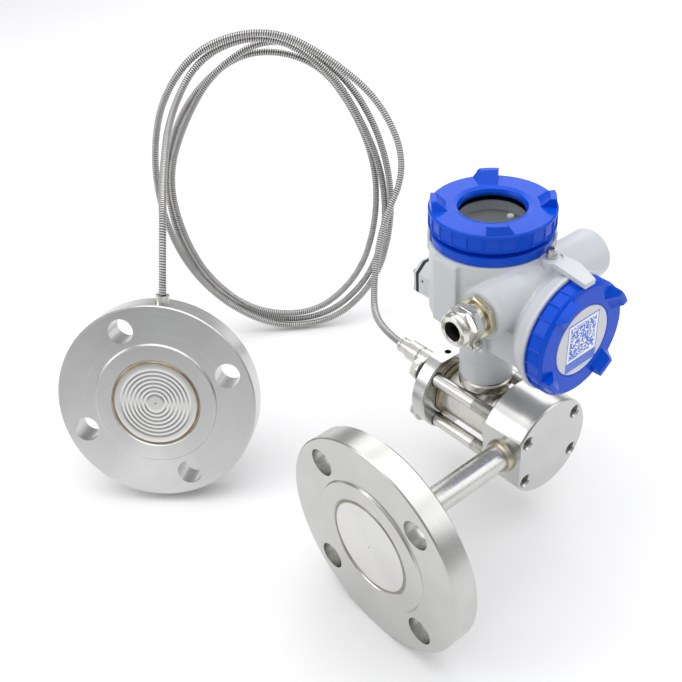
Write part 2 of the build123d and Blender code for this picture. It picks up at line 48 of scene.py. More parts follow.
# ------------------------------------------------------------------ helpers
def frame_at(origin, axis, xdir=None):
    """Matrix whose Z is the axis; profile a runs along it."""
    z = Vector(axis).normalized()
    x = Vector(xdir) if xdir is not None else (Vector((0, 0, 1)) if abs(z.z) < 0.9 else Vector((1, 0, 0)))
    x = (x - z * x.dot(z)).normalized()
    y = z.cross(x)
    m = Matrix((x, y, z)).transposed().to_4x4()
    m.translation = Vector(origin)
    return m


AX = frame_at((0, 0, 0), (1, 0, 0))
AY = frame_at((SX, 0, 0), (0, 1, 0))
AYT = frame_at((SX, 0, TZ), (0, 1, 0))
AZ = frame_at((SX, NY, 0), (0, 0, 1))
AR = frame_at(RC, RN, RU)


def rounded(pts, n=4):
    """Profile points (r, a) or (r, a, fillet): each fillet becomes an arc."""
    out = []
    m = len(pts)
    for i, p in enumerate(pts):
        r = p[2] if len(p) > 2 else 0.0
        c = Vector((p[0], p[1]))
        if r <= 0 or i == 0 or i == m - 1:
            out.append(c)
            continue
        a, b = Vector(pts[i - 1][:2]) - c, Vector(pts[i + 1][:2]) - c
        la, lb = a.length, b.length
        if la < 1e-9 or lb < 1e-9:
            out.append(c)
            continue
        a, b = a / la, b / lb
        half = a.angle(b) / 2
        if half < 0.05 or half > 1.55:
            out.append(c)
            continue
        t = min(r / math.tan(half), 0.49 * la, 0.49 * lb)
        p0, p1 = c + a * t, c + b * t
        for k in range(n + 1):
            u = k / n
            out.append(p0 * (1 - u) ** 2 + c * (2 * u * (1 - u)) + p1 * u ** 2)
    return [(v[0], v[1]) for v in out]


def finish_mesh(name, bm, angle=32.0):
    bmesh.ops.remove_doubles(bm, verts=bm.verts, dist=1e-4)
    bmesh.ops.recalc_face_normals(bm, faces=bm.faces)
    me = bpy.data.meshes.new(name)
    bmesh.ops.scale(bm, vec=(0.001, 0.001, 0.001), verts=bm.verts)
    bm.to_mesh(me)
    bm.free()
    ob = bpy.data.objects.new(name, me)
    bpy.context.scene.collection.objects.link(ob)
    shade(ob, angle)
    return ob


def shade(ob, angle=32.0):
    me = ob.data
    me.polygons.foreach_set("use_smooth", [True] * len(me.polygons))
    me.set_sharp_from_angle(angle=math.radians(angle))
    me.update()


def lathe_bm(bm, pts, m, seg=144, mod=None, closed=False):
    """seg is a count, or the list of angles of the ring."""
    angles = seg if isinstance(seg, list) else [2 * math.pi * i / seg for i in range(seg)]
    seg = len(angles)
    rings = []
    for j, (r, a) in enumerate(pts):
        if r < 1e-6:
            rings.append([bm.verts.new(m @ Vector((0, 0, a)))])
            continue
        ring = []
        for i in range(seg):
            t = angles[i]
            rr, aa = (r, a) if mod is None else mod(r, a, t)
            ring.append(bm.verts.new(m @ Vector((rr * math.cos(t), rr * math.sin(t), aa))))
        rings.append(ring)
    pairs = list(zip(rings, rings[1:]))
    if closed:
        pairs.append((rings[-1], rings[0]))
    for p, q in pairs:
        if len(p) == 1 and len(q) == 1:
            continue
        for i in range(seg):
            k = (i + 1) % seg
            if len(p) == 1:
                bm.faces.new((p[0], q[i], q[k]))
            elif len(q) == 1:
                bm.faces.new((p[i], q[0], p[k]))
            else:
                bm.faces.new((p[i], q[i], q[k], p[k]))


def lathe(name, pts, m, seg=144, mod=None, closed=None, n=4, angle=32.0):
    prof = rounded(pts, n)
    if closed is None:
        closed = pts[0][0] > 1e-6 and pts[-1][0] > 1e-6
    bm = bmesh.new()
    lathe_bm(bm, prof, m, seg, mod, closed)
    return finish_mesh(name, bm, angle)


def prism_bm(bm, poly, m, z0, z1):
    lo = [bm.verts.new(m @ Vector((x, y, z0))) for x, y in poly]
    hi = [bm.verts.new(m @ Vector((x, y, z1))) for x, y in poly]
    k = len(poly)
    bm.faces.new(lo[::-1])
    bm.faces.new(hi)
    for i in range(k):
        j = (i + 1) % k
        bm.faces.new((lo[i], lo[j], hi[j], hi[i]))


def box_bm(bm, x0, x1, y0, y1, z0, z1, m=Matrix.Identity(4)):
    prism_bm(bm, [(x0, y0), (x1, y0), (x1, y1), (x0, y1)], m, z0, z1)


def cyl_bm(bm, m, r, a, b, seg=64):
    prism_bm(bm, [(r * math.cos(2 * math.pi * i / seg), r * math.sin(2 * math.pi * i / seg)) for i in range(seg)], m, a, b)


def solid(name, fn, angle=32.0):
    bm = bmesh.new()
    fn(bm)
    return finish_mesh(name, bm, angle)


def bake(ob):
    dg = bpy.context.evaluated_depsgraph_get()
    me = bpy.data.meshes.new_from_object(ob.evaluated_get(dg))
    old = ob.data
    ob.modifiers.clear()
    ob.data = me
    me.name = ob.name
    bpy.data.meshes.remove(old)


def boolean(ob, other, op="DIFFERENCE", angle=32.0, bevel=0.0, solver="EXACT"):
    md = ob.modifiers.new("b", "BOOLEAN")
    md.operation, md.solver, md.object = op, solver, other
    bake(ob)
    bpy.data.objects.remove(other)
    if bevel > 0:
        bv = ob.modifiers.new("v", "BEVEL")
        bv.width, bv.segments, bv.limit_method, bv.angle_limit = bevel / 1000, 2, "ANGLE", math.radians(50)
        bv.use_clamp_overlap = True
        bake(ob)
    shade(ob, angle)
    return ob


def hexagon(af, spin=0.0):
    r = af / math.sqrt(3)
    return [(r * math.cos(math.radians(spin + 60 * k)), r * math.sin(math.radians(spin + 60 * k))) for k in range(6)]


def hex_piece(name, m, af, a, b, spin=0.0, chamfer_a=True, chamfer_b=True):
    """Hexagon whose corners are turned off by a 30 degree chamfer."""
    ob = solid(name, lambda bm: prism_bm(bm, hexagon(af, spin), m, a, b))
    rc, rf = af / math.sqrt(3) + 0.4, af / 2 - 0.3
    d = (rc - rf) * 0.55
    prof = [(0, a)]
    prof += [(rf, a), (rc, a + d)] if chamfer_a else [(rc, a)]
    prof += [(rc, b - d), (rf, b)] if chamfer_b else [(rc, b)]
    prof += [(0, b)]
    return boolean(ob, lathe(name + "_c", prof, m, 96), "INTERSECT", 25.0, 0.12)


def join(name, *obs):
    bm = bmesh.new()
    for o in obs:
        bm.from_mesh(o.data)
    me = bpy.data.meshes.new(name)
    bm.to_mesh(me)
    bm.free()
    ob = bpy.data.objects.new(name, me)
    bpy.context.scene.collection.objects.link(ob)
    for o in obs:
        bpy.data.objects.remove(o)
    return ob


# ------------------------------------------------------------------ materials
class Mat:
    def __init__(self, name):
        self.m = bpy.data.materials.new(name)
        self.m.use_nodes = True
        self.nt = self.m.node_tree
        self.nt.nodes.clear()
        self.out = self.nt.nodes.new("ShaderNodeOutputMaterial")
        self.p = self.nt.nodes.new("ShaderNodeBsdfPrincipled")
        self.nt.links.new(self.p.outputs[0], self.out.inputs[0])
        self.tc = self.nt.nodes.new("ShaderNodeTexCoord")

    def set(self, **kw):
        for k, v in kw.items():
            self.p.inputs[k.replace("_", " ")].default_value = v
        return self

    def node(self, kind, **kw):
        n = self.nt.nodes.new("ShaderNode" + kind)
        for k, v in kw.items():
            setattr(n, k, v)
        return n

    def link(self, a, b):
        self.nt.links.new(a, b)

    def put(self, n, i, v):
        if hasattr(v, "is_output") or hasattr(v, "links"):
            self.link(v, n.inputs[i])
        else:
            n.inputs[i].default_value = v

    def vmath(self, op, a, b=None, c=None):
        n = self.node("VectorMath", operation=op)
        self.put(n, 0, a)
        if b is not None:
            self.put(n, 1, b)
        if c is not None:
            if op == "SCALE":
                n.inputs["Scale"].default_value = c
            else:
                self.put(n, 2, c)
        return n.outputs["Value"] if op in ("DOT_PRODUCT", "LENGTH", "DISTANCE") else n.outputs["Vector"]

    def math(self, op, a, b=None):
        n = self.node("Math", operation=op)
        self.put(n, 0, a)
        if b is not None:
            self.put(n, 1, b)
        return n.outputs[0]

    def comb(self, x, y, z):
        n = self.node("CombineXYZ")
        for i, v in enumerate((x, y, z)):
            self.put(n, i, v)
        return n.outputs[0]

    def noise(self, vec, scale, detail=2.0, rough=0.5):
        n = self.node("TexNoise")
        self.link(vec, n.inputs["Vector"])
        n.inputs["Scale"].default_value = scale
        n.inputs["Detail"].default_value = detail
        n.inputs["Roughness"].default_value = rough
        return n.outputs["Fac"]

    def ramp(self, fac, stops):
        n = self.node("ValToRGB")
        self.link(fac, n.inputs[0])
        el = n.color_ramp.elements
        while len(el) < len(stops):
            el.new(0.5)
        for e, (p, c) in zip(el, stops):
            e.position = p
            e.color = (c, c, c, 1) if isinstance(c, (int, float)) else tuple(c) + (1,)
        return n.outputs[0]

    def mixcol(self, fac, a, b):
        n = self.node("Mix", data_type="RGBA")
        self.put(n, 0, fac)
        for i, v in ((6, a), (7, b)):
            if hasattr(v, "links"):
                self.link(v, n.inputs[i])
            else:
                n.inputs[i].default_value = tuple(v) + (1,)
        return n.outputs[2]

    def maprange(self, v, a, b, c, d):
        n = self.node("MapRange")
        self.link(v, n.inputs[0])
        for i, x in enumerate((a, b, c, d)):
            n.inputs[i + 1].default_value = x
        return n.outputs[0]

    def bump(self, h, strength, dist, prev=None):
        n = self.node("Bump")
        n.inputs["Strength"].default_value = strength
        n.inputs["Distance"].default_value = dist
        self.link(h, n.inputs["Height"])
        if prev is not None:
            self.link(prev, n.inputs["Normal"])
        self.link(n.outputs[0], self.p.inputs["Normal"])
        return n.outputs[0]


def steel(name, centre, axis, base=(0.62, 0.615, 0.60), rough=0.24, aniso=0.7, lines=5200.0, depth=0.000012, blotch=0.05, tint=None):
    """Turned stainless steel: fine tool lines round the axis, long streaks in the finish."""
    s = Mat(name).set(Metallic=1.0, Anisotropic=aniso)
    obj = s.tc.outputs["Object"]
    c = tuple(v / 1000 for v in centre)
    ax = tuple(Vector(axis).normalized())
    q = s.vmath("SUBTRACT", obj, c)
    h = s.vmath("DOT_PRODUCT", q, ax)
    n = s.node("VectorMath", operation="SCALE")
    n.inputs[0].default_value = ax
    s.link(h, n.inputs["Scale"])
    rad = s.vmath("SUBTRACT", q, n.outputs[0])
    r = s.vmath("LENGTH", rad)
    tan = s.vmath("CROSS_PRODUCT", ax, rad)
    tan = s.vmath("NORMALIZE", tan)
    s.link(tan, s.p.inputs["Tangent"])
    rh = s.comb(r, h, 0.0)
    fine = s.noise(rh, lines, 3.0, 0.7)
    mid = s.noise(rh, lines / 9.0, 2.0, 0.5)
    big = s.noise(obj, 28.0, 3.0, 0.6)
    mix = s.math("MULTIPLY", fine, 0.6)
    mix = s.math("ADD", mix, s.math("MULTIPLY", mid, 0.4))
    a = tuple(v * (1 - blotch) for v in base)
    b = tuple(min(1, v * (1 + blotch)) for v in base)
    col = s.mixcol(s.ramp(big, [(0.3, 0.0), (0.7, 1.0)]), a, b)
    if tint is not None:
        col = s.mixcol(s.ramp(s.noise(obj, 90.0, 2.0), [(0.35, 0.0), (0.7, 0.8)]), tint, base)
    s.link(col, s.p.inputs["Base Color"])
    s.link(s.maprange(mix, 0.3, 0.7, rough * 0.82, rough * 1.2), s.p.inputs["Roughness"])
    s.bump(mix, 0.35, depth)
    return s.m


def plain_metal(name, base, rough, grain=900.0, depth=0.00002, blotch=0.06):
    s = Mat(name).set(Metallic=1.0)
    obj = s.tc.outputs["Object"]
    g = s.noise(obj, grain, 3.0, 0.6)
    big = s.noise(obj, 60.0, 3.0, 0.6)
    col = s.mixcol(big, tuple(v * (1 - blotch) for v in base), tuple(min(1, v * (1 + blotch)) for v in base))
    s.link(col, s.p.inputs["Base Color"])
    s.link(s.maprange(g, 0.3, 0.7, rough * 0.8, rough * 1.25), s.p.inputs["Roughness"])
    s.bump(g, 0.3, depth)
    return s.m


def paint(name, base, rough, coat=0.0, peel=420.0, depth=0.00004, vary=0.03, coat_rough=0.06):
    s = Mat(name).set(Coat_Weight=coat, Coat_Roughness=coat_rough)
    obj = s.tc.outputs["Object"]
    g = s.noise(obj, peel, 2.0, 0.5)
    f = s.noise(obj, peel * 6, 2.0, 0.5)
    big = s.noise(obj, 25.0, 2.0, 0.5)
    col = s.mixcol(big, tuple(v * (1 - vary) for v in base), tuple(min(1, v * (1 + vary)) for v in base))
    s.link(col, s.p.inputs["Base Color"])
    s.link(s.maprange(f, 0.3, 0.7, rough * 0.9, rough * 1.12), s.p.inputs["Roughness"])
    s.bump(g, 0.25, depth)
    return s.m


STEEL = (0.575, 0.575, 0.565)
m_dflange = steel("turned_direct", (0, 0, 0), (1, 0, 0), (0.57, 0.568, 0.55), 0.22, 0.75)
m_rflange = steel("turned_remote", RC, RN, (0.62, 0.62, 0.61), 0.24, 0.85)
m_ddia = steel("foil_direct", (0, 0, 0), (1, 0, 0), (0.70, 0.695, 0.68), 0.2, 0.5, 2600)
m_rdia = steel("foil_remote", RC, RN, (0.70, 0.695, 0.68), 0.17, 0.5, 2600)
m_tube = steel("turned_tube", (0, 0, 0), (1, 0, 0), (0.62, 0.615, 0.59), 0.26, 0.6, 3000, 0.000004, blotch=0.06)
m_sensor = steel("turned_sensor", (SX, 0, 0), (0, 1, 0), STEEL, 0.2, 0.7)
m_capsule = steel("capsule", (SX, 0, 0), (0, 1, 0), (0.60, 0.58, 0.54), 0.28, 0.5, 2500, 0.000005, blotch=0.08)
m_neck = steel("turned_neck", (SX, NY, 0), (0, 0, 1), (0.58, 0.56, 0.52), 0.25, 0.6, 3000, blotch=0.12)
m_fit = steel("turned_fitting", (SX, 0, 8), (0, 1, 0), (0.72, 0.70, 0.66), 0.24, 0.6, 3000)
m_weld_x = steel("weld_tube", (0, 0, 0), (1, 0, 0), (0.58, 0.56, 0.50), 0.3, 0.3, 1500, tint=(0.46, 0.39, 0.27))
m_weld_y = steel("weld_capsule", (SX, 0, 0), (0, 1, 0), (0.56, 0.53, 0.46), 0.3, 0.3, 1500, tint=(0.40, 0.33, 0.21))
# Direct weld bead colour: dark grey-brown, partly the seam's own tone and partly painted shade for the thin shadow
# lines along it.
m_weld_seam_shade = plain_metal("weld_seam_and_painted_shade", (0.30, 0.28, 0.24), 0.3)
m_weld_r = steel("weld_remote", RC, RN, (0.42, 0.37, 0.28), 0.3, 0.3, 1500, tint=(0.26, 0.19, 0.10))
m_bolt = plain_metal("bolt_steel", (0.62, 0.61, 0.58), 0.26, 2500.0, 0.000003)
# Steel of the tapped threads, darkened as painted shade of the holes they sit in.
m_thread_shade = plain_metal("thread_steel_painted_shade", (0.20, 0.19, 0.18), 0.35, 2500.0, 0.000003)
m_gland = plain_metal("nickel", (0.74, 0.725, 0.67), 0.20, 900.0, 0.000004)
m_locknut = plain_metal("brass_tint", (0.66, 0.60, 0.44), 0.2, 500.0, 0.00001)
def hose_metal():
    """Steel strip with painted shade: the base colour goes near-black in the grooves between the turns."""
    s = Mat("hose_steel").set(Metallic=1.0)
    n = s.node("Attribute", attribute_name="groove")
    big = s.noise(s.tc.outputs["Object"], 60.0, 3.0, 0.6)
    bright = s.mixcol(big, (0.62, 0.615, 0.60), (0.72, 0.715, 0.70))
    # painted shade: near-black steel where the groove mask is low, plain steel tone on the crests
    col = s.mixcol(s.ramp(n.outputs["Fac"], [(0.2, 0.0), (0.8, 1.0)]), (0.085, 0.084, 0.082), bright)
    s.link(col, s.p.inputs["Base Color"])
    s.link(s.maprange(big, 0.3, 0.7, 0.24, 0.32), s.p.inputs["Roughness"])
    return s.m


m_hose = hose_metal()
m_grey = paint("housing_paint", (0.60, 0.62, 0.64), 0.38, 0.2, 380.0, 0.00003, 0.015, 0.25)
m_blue = paint("cover_paint", (0.001, 0.072, 0.62), 0.2, 0.03, 300.0, 0.00003, 0.03, 0.1)
m_blue.node_tree.nodes["Principled BSDF"].inputs["Specular IOR Level"].default_value = 0.16
m_rubber = paint("black_rubber", (0.018, 0.018, 0.02), 0.6, 0.0, 900.0, 0.00005, 0.1)
m_ring = plain_metal("ring_metal", (0.78, 0.79, 0.80), 0.25)
m_bezel = paint("bezel_grey", (0.27, 0.29, 0.29), 0.5, 0.0, 700.0, 0.00002, 0.03)
m_module = paint("module_plastic", (0.085, 0.105, 0.12), 0.5, 0.0, 900.0, 0.00003, 0.06)
m_lcd = paint("display", (0.075, 0.095, 0.105), 0.4, 0.0, 50.0, 0.00001, 0.05)
m_white = paint("white_plastic", (0.85, 0.85, 0.82), 0.35, 0.1, 700.0, 0.00002, 0.03)
m_board = paint("board", (0.02, 0.12, 0.05), 0.4, 0.3, 600.0, 0.00003, 0.1)
m_black = paint("black_screw", (0.03, 0.03, 0.03), 0.35, 0.2, 900.0, 0.00003, 0.1)

g = Mat("window").set(Roughness=0.02, IOR=1.14, Transmission_Weight=1.0)
g.link(g.mixcol(g.noise(g.tc.outputs["Object"], 40.0), (0.93, 0.95, 0.95), (0.97, 0.98, 0.98)), g.p.inputs["Base Color"])
m_glass = g.m


def label_material():
    """Printed disc: light ground and a field of random cells in a blue frame."""
    s = Mat("label").set(Coat_Weight=0.4, Coat_Roughness=0.1, Roughness=0.35)
    obj = s.tc.outputs["Object"]
    q = s.vmath("SUBTRACT", obj, (SX / 1000, 0, TZ / 1000))
    sep = s.node("SeparateXYZ")
    s.link(q, sep.inputs[0])
    x = s.math("MULTIPLY", sep.outputs[0], 1000.0)
    z = s.math("MULTIPLY", sep.outputs[2], 1000.0)
    cell = 0.92
    u = s.math("FLOOR", s.math("DIVIDE", x, cell))
    v = s.math("FLOOR", s.math("DIVIDE", z, cell))
    wn = s.node("TexWhiteNoise", noise_dimensions="3D")
    s.link(s.comb(u, v, 3.0), wn.inputs["Vector"])
    cells = s.math("GREATER_THAN", wn.outputs["Value"], 0.42)
    au = s.math("ABSOLUTE", x)
    az = s.math("ABSOLUTE", s.math("SUBTRACT", z, 2.0))
    inside = s.math("LESS_THAN", s.math("MAXIMUM", au, az), 12.2)
    zz = s.math("ABSOLUTE", s.math("ADD", z, 1.2))
    frame_in = s.math("MULTIPLY", s.math("LESS_THAN", au, 14.6), s.math("LESS_THAN", zz, 18.2))
    hole = s.math("MULTIPLY", s.math("LESS_THAN", au, 13.9), s.math("LESS_THAN", az, 13.9))
    ink = s.math("MULTIPLY", cells, inside)
    band = s.math("SUBTRACT", frame_in, hole)
    ink = s.math("MAXIMUM", ink, s.math("MAXIMUM", band, 0.0))
    ground = s.mixcol(frame_in, (0.62, 0.63, 0.66), (0.86, 0.88, 0.92))
    col = s.mixcol(ink, ground, (0.03, 0.13, 0.66))
    s.link(col, s.p.inputs["Base Color"])
    s.bump(s.noise(obj, 700.0), 0.1, 0.00001)
    return s.m


m_label = label_material()

used = []


def place(ob, mat, body, slot, *nodes):
    ob.data.validate()
    if ob.name not in ("ridged_hose", "housing_body"):
        wn = ob.modifiers.new("w", "WEIGHTED_NORMAL")
        wn.mode, wn.weight, wn.keep_sharp = "FACE_AREA", 80, True
        bake(ob)
    ob.data.materials.clear()
    ob.data.materials.append(mat)
    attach(ob, body)
    if nodes:
        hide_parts(*nodes)
        used.extend(nodes)
    return ob


# ------------------------------------------------------------------ hose
HOSE = [(-0.1526, -0.1335, 0.008), (-0.1526, -0.1575, 0.01), (-0.176, -0.196, 0.005), (-0.20875, -0.22004, 0.05434), (-0.24241, -0.22041, 0.09855), (-0.2393, -0.24539, 0.14882), (-0.21296, -0.27572, 0.18619), (-0.17905, -0.30805, 0.21371), (-0.1333, -0.34214, 0.20492), (-0.10182, -0.36319, 0.16527), (-0.08773, -0.37151, 0.11257), (-0.08609, -0.3712, 0.05854), (-0.09592, -0.36298, 0.0052), (-0.11957, -0.34497, -0.04032), (-0.1558, -0.31652, -0.07163), (-0.20128, -0.28378, -0.07001), (-0.2367, -0.26211, -0.03183), (-0.25129, -0.25427, 0.02027), (-0.25392, -0.25504, 0.07453), (-0.2457, -0.26582, 0.12765), (-0.22588, -0.28607, 0.17341), (-0.18957, -0.31969, 0.2041), (-0.1467, -0.34813, 0.18), (-0.11973, -0.3661, 0.136), (-0.10175, -0.37778, 0.08592), (-0.1033, -0.37399, 0.03085), (-0.11654, -0.36001, -0.02006), (-0.14635, -0.33228, -0.05793), (-0.1913, -0.29754, -0.06288), (-0.22938, -0.27649, -0.02729), (-0.24627, -0.26886, 0.0244), (-0.24993, -0.26976, 0.07885), (-0.23921, -0.28078, 0.13079), (-0.21829, -0.30229, 0.17787), (-0.1753, -0.33716, 0.19216), (-0.13556, -0.3641, 0.16259), (-0.11037, -0.38084, 0.11716), (-0.10058, -0.38535, 0.06355), (-0.10393, -0.37835, 0.00932), (-0.12156, -0.359, -0.03872), (-0.15573, -0.32711, -0.06923), (-0.19947, -0.29202, -0.06757), (-0.23538, -0.26933, -0.03105), (-0.25172, -0.26114, 0.02091), (-0.25082, -0.2618, 0.07529), (-0.2365, -0.26971, 0.12738), (-0.21659, -0.28559, 0.17515), (-0.18205, -0.31649, 0.20772), (-0.13485, -0.34717, 0.19598), (-0.09234, -0.3377, 0.15973), (-0.05448, -0.29204, 0.13825), (-0.01912, -0.23756, 0.12726), (-0.00578, -0.23178, 0.07728)]


def hose():
    cu = bpy.data.curves.new("hose_route", "CURVE")
    cu.dimensions = "3D"
    sp = cu.splines.new("NURBS")
    sp.points.add(len(HOSE) - 1)
    for p, c in zip(sp.points, HOSE):
        p.co = (*c, 1.0)
    sp.order_u = 3
    sp.use_endpoint_u = True
    sp.resolution_u = 40
    route = bpy.data.objects.new("hose_route", cu)
    bpy.context.scene.collection.objects.link(route)
    bpy.context.view_layer.update()
    me = bpy.data.meshes.new_from_object(route.evaluated_get(bpy.context.evaluated_depsgraph_get()))
    line = [v.co.copy() for v in me.vertices]
    bpy.data.objects.remove(route)
    length = [0.0]
    for a, b in zip(line, line[1:]):
        length.append(length[-1] + (b - a).length)
    total = length[-1]
    pitch, per, sides, r0, amp = 0.0019, 5, 12, 0.00280, 0.00032
    n = int(total / pitch * per)
    pts, k = [], 0
    for i in range(n + 1):
        s = total * i / n
        while k < len(length) - 2 and length[k + 1] < s:
            k += 1
        u = (s - length[k]) / max(length[k + 1] - length[k], 1e-12)
        pts.append(line[k].lerp(line[k + 1], u))
    bm = bmesh.new()
    groove = bm.verts.layers.float.new("groove")
    t = (pts[1] - pts[0]).normalized()
    x = t.orthogonal().normalized()
    prev = None
    for i, p in enumerate(pts):
        a, b = pts[max(i - 1, 0)], pts[min(i + 1, n)]
        t = (b - a).normalized()
        x = (x - t * x.dot(t)).normalized()
        y = t.cross(x)
        s = total * i / n
        ring = []
        for j in range(sides):
            w = 2 * math.pi * j / sides
            ph = 2 * math.pi * s / pitch + w
            r = r0 + amp * math.cos(ph)
            ring.append(bm.verts.new(p + (x * math.cos(w) + y * math.sin(w)) * r))
            # groove mask: 0 in the grooves, 1 on the crests; the hose material paints shade where it is low
            ring[-1][groove] = 0.5 + 0.5 * math.cos(ph)
        if prev:
            for j in range(sides):
                q = (j + 1) % sides
                bm.faces.new((prev[j], prev[q], ring[q], ring[j]))
        else:
            bm.faces.new(ring[::-1])
        prev = ring
    bm.faces.new(prev)
    me = bpy.data.meshes.new("ridged_hose")
    bm.to_mesh(me)
    bm.free()
    ob = bpy.data.objects.new("ridged_hose", me)
    bpy.context.scene.collection.objects.link(ob)
    shade(ob, 80)
    place(ob, m_hose, "base", "stainless_hose", "capillary_lead", "capillary_coil", "capillary_tail")
    print("hose length", round(total, 4))


hose()


# ------------------------------------------------------------------ flanges
def flange(name, m, thick, spin, mat, node, slot="stainless_machined", groove=False):
    """Turned flange with its raised face, four holes and a lip round the diaphragm."""
    prof = [(0, -thick), (75.0, -thick, 0), (76.2, -thick + 1.2, 0.3), (76.2, -2.6, 0.3), (75.4, -1.6, 0.3), (47.0, -1.6, 0.3),
            (46.05, -0.2, 0.3), (45.6, 0, 0.2), (34.6, 0, 0.3), (33.9, -0.75, 0.2), (32.9, -0.75, 0.2), (32.7, -0.2, 0.1), (32.2, -0.2, 0.1), (32.15, -1.2), (0, -1.2)]
    if groove:
        k = prof.index((34.6, 0, 0.3))
        prof[k:k] = [(38.6, 0), (38.0, -0.14), (37.2, -0.14), (36.6, 0)]
    ob = lathe(name, prof, m, 192, n=3, angle=25)

    def holes(bm):
        for k in range(4):
            a = math.radians(spin + 90 * k)
            c = m @ Matrix.Translation((60.325 * math.cos(a), 60.325 * math.sin(a), 0))
            cyl_bm(bm, c, 9.525, -thick - 2, 2, 72)
    boolean(ob, solid(name + "_h", holes), "DIFFERENCE", 25, 0.35)
    return place(ob, mat, "base", slot, node)


def to_angle(m, v):
    """Angle in the profile frame of a direction given in the row frame."""
    d = m.to_3x3().inverted() @ Vector(v)
    return math.degrees(math.atan2(d.y, d.x))


a0 = math.radians(46.6)
flange("direct_flange", AX, 18.9, to_angle(AX, (0, math.cos(a0), math.sin(a0))), m_dflange, "direct_seal_flange", groove=True)
RYD = RU.cross(RN)
a1 = math.radians(21.3)
flange("remote_flange", AR, 24.0, to_angle(AR, RYD * math.cos(a1) + RU * math.sin(a1)), m_rflange, "remote_seal_flange")


def diaphragm(name, m, mat, node, amp=0.34):
    pts = [(0, -0.35), (5.6, -0.35)]
    n = 7
    r0, r1 = 6.0, 27.6
    steps = n * 10
    for i in range(steps + 1):
        r = r0 + (r1 - r0) * i / steps
        pts.append((r, -0.35 - amp * 0.5 * (1 - math.cos(2 * math.pi * n * (r - r0) / (r1 - r0)))))
    pts += [(28.6, -0.35), (30.4, -0.3), (31.2, -0.42), (32.1, -0.42), (32.1, -1.1), (0, -1.1)]
    ob = lathe(name, pts, m, 160, angle=60)
    return place(ob, mat, "base", "stainless_fine", node)


diaphragm("direct_foil", AX, m_ddia, "direct_diaphragm", 0.17)
diaphragm("remote_foil", AR, m_rdia, "remote_diaphragm", 0.42)
# The direct weld bead carries painted shade in its dark colour; the remote one keeps its heat tint.
for nm, m, mt in (("direct_weld_line", AX, m_weld_seam_shade), ("remote_weld_line", AR, m_weld_r)):
    ob = lathe(nm, [(31.6, -0.5), (31.75, -0.12, 0.1), (32.25, -0.02, 0.1), (32.75, -0.12, 0.1), (33.6, -0.7), (33.6, -0.8), (31.6, -0.8)], m, 160, angle=60)
    place(ob, mt, "base", "weld_tint")
for nm, m, mt in (("direct_centre_spot", AX, m_weld_x), ("remote_centre_spot", AR, m_weld_r)):
    ob = lathe(nm, [(0, -0.2), (0.45, -0.25), (0.8, -0.36), (0.8, -0.6), (0, -0.6)], m, 32, angle=60)
    place(ob, mt, "base", "weld_tint")

# ------------------------------------------------------------------ sensor
HOLE_F = [(24.1 * i, 17.4 * j) for i in (-1, 1) for j in (-1, 1)]
HOLE_B = [(20.9 * i, 18.8 * j) for i in (-1, 1) for j in (-1, 1)]


def puck():
    prof = [(0, -17.1), (35.2, -17.1, 0.4), (36.6, -15.9, 0.6), (36.6, 15.7, 0.8), (35.4, 16.9, 0.8), (0, 16.9)]
    ob = lathe("front_flange", prof, AY, 192, n=4, angle=25)

    def cutters(bm):
        box_bm(bm, -121.6, -90, -40, 40, -60, 60)
        for hx, hz in HOLE_F:
            c = frame_at((SX + hx, 0, hz), (0, 1, 0))
            lathe_bm(bm, [(0, 0.6), (4.35, 1.9), (4.35, 15.6), (5.5, 17.2), (5.5, 18), (0, 18)], c, 40)
    boolean(ob, solid("puck_cut", cutters), "DIFFERENCE", 25, 0.45)
    place(ob, m_sensor, "base", "stainless_machined", "front_process_flange")

    # thread turns inside the four tapped holes, in a steel darkened as painted shade of the holes
    def threads(bm):
        for hx, hz in HOLE_F:
            c = frame_at((SX + hx, 0, hz), (0, 1, 0))
            pts = [(4.6, 2.0)]
            a = 2.2
            while a < 15.0:
                pts += [(4.33, a), (3.85, a + 0.55), (4.33, a + 1.1)]
                a += 1.3
            pts += [(4.6, 15.4)]
            lathe_bm(bm, pts, c, 36, closed=True)
    ob = solid("tapped_threads", threads, 30)
    place(ob, m_thread_shade, "base", "bolt_steel")


puck()


def rear():
    prof = [(0, -86.5), (33.2, -86.5, 0.5), (34.8, -85.1, 0.5), (34.8, -74.3, 0.4), (34.0, -73.1, 0.3), (0, -73.1)]
    ob = lathe("rear_flange", prof, AY, 176, n=4, angle=25)

    boolean(ob, solid("rear_flat", lambda bm: box_bm(bm, SX - 50, SX + 50, -95, -60, 31.0, 60)), "DIFFERENCE", 25)

    def cutters(bm):
        for hx, hz in HOLE_B:
            cyl_bm(bm, frame_at((SX + hx, 0, hz), (0, 1, 0)), 5.6, -90, -70, 48)
        cyl_bm(bm, frame_at((SX + 3.0, -79.8, 0), (0, 0, 1)), 2.5, 22, 40, 32)
    boolean(ob, solid("rear_cut", cutters), "DIFFERENCE", 25, 0.4)
    place(ob, m_sensor, "base", "stainless_machined", "rear_process_flange")


rear()


